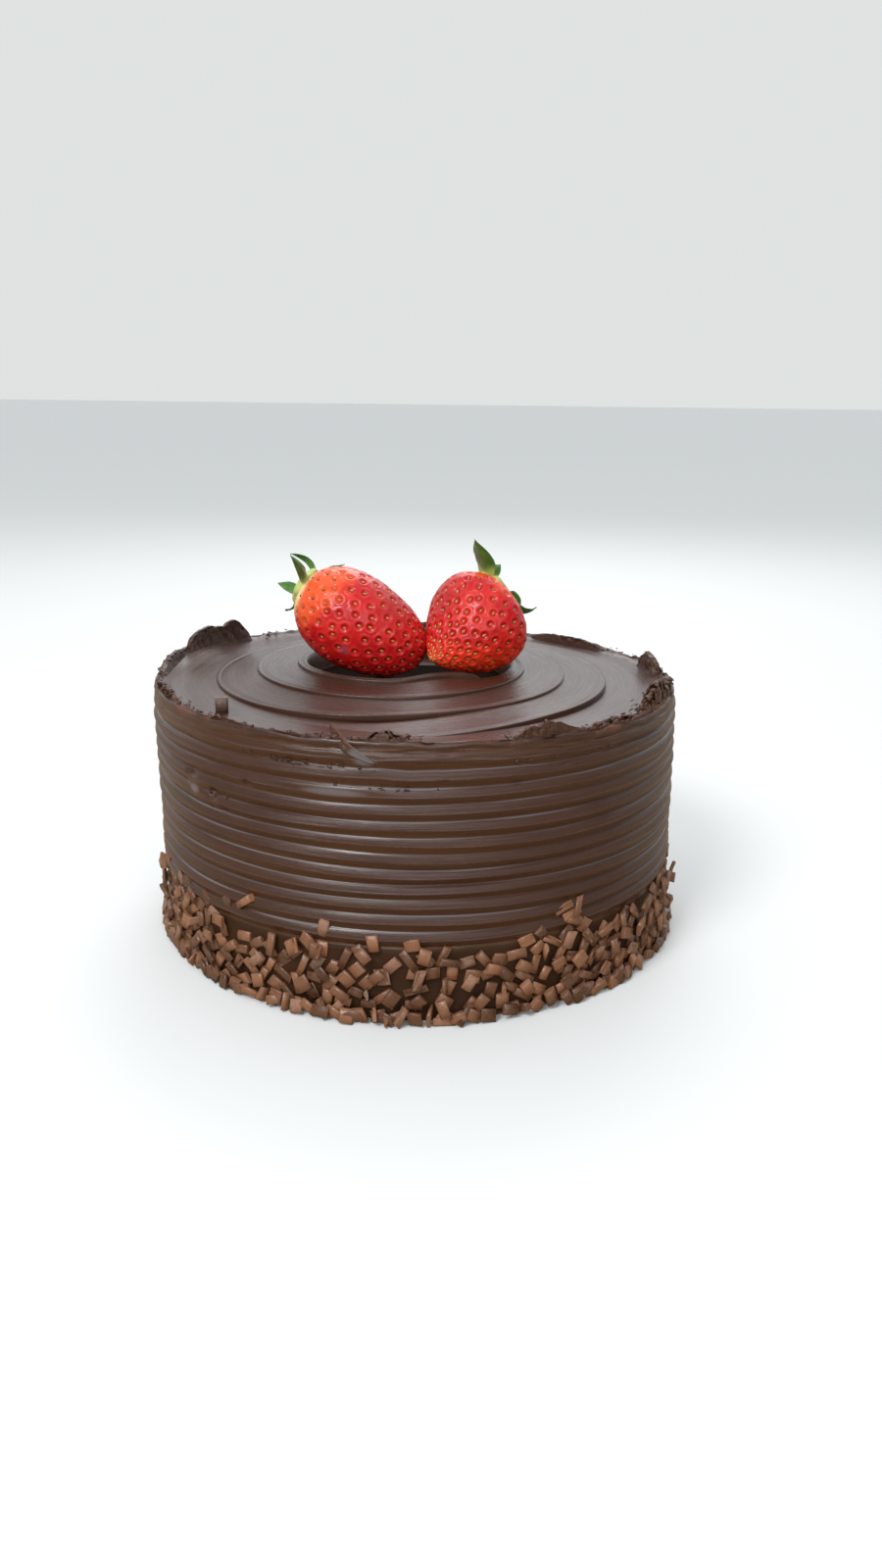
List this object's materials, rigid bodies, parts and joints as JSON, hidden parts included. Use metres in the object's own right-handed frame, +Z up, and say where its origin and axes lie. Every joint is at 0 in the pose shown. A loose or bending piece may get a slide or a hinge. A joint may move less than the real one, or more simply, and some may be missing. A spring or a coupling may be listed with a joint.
{
  "type": "chocolate strawberry cake",
  "caption": "Tall round cake coated in combed chocolate ganache, with a torn rim, a spatula swirl on top, a band of chocolate flakes round the foot and whole strawberries on the middle.",
  "frame": {"origin": "middle of the foot, on the surface that the cake stands on", "axes": "+Z up, -Y towards the viewer of the picture, +X to the picture's right"},
  "size_m": [0.2104, 0.2104, 0.1505],
  "materials": {
    "ganache": "satin set ganache with comb and spatula marks",
    "berry_flesh": "moist glossy fruit skin",
    "berry_leaf": "soft satin leaf"
  },
  "bodies": {
    "root": {"cake": "ganache", "strawberry_left": "berry_flesh", "strawberry_right": "berry_flesh", "calyx_left": "berry_leaf", "calyx_right": "berry_leaf"}
  },
  "joints": []
}
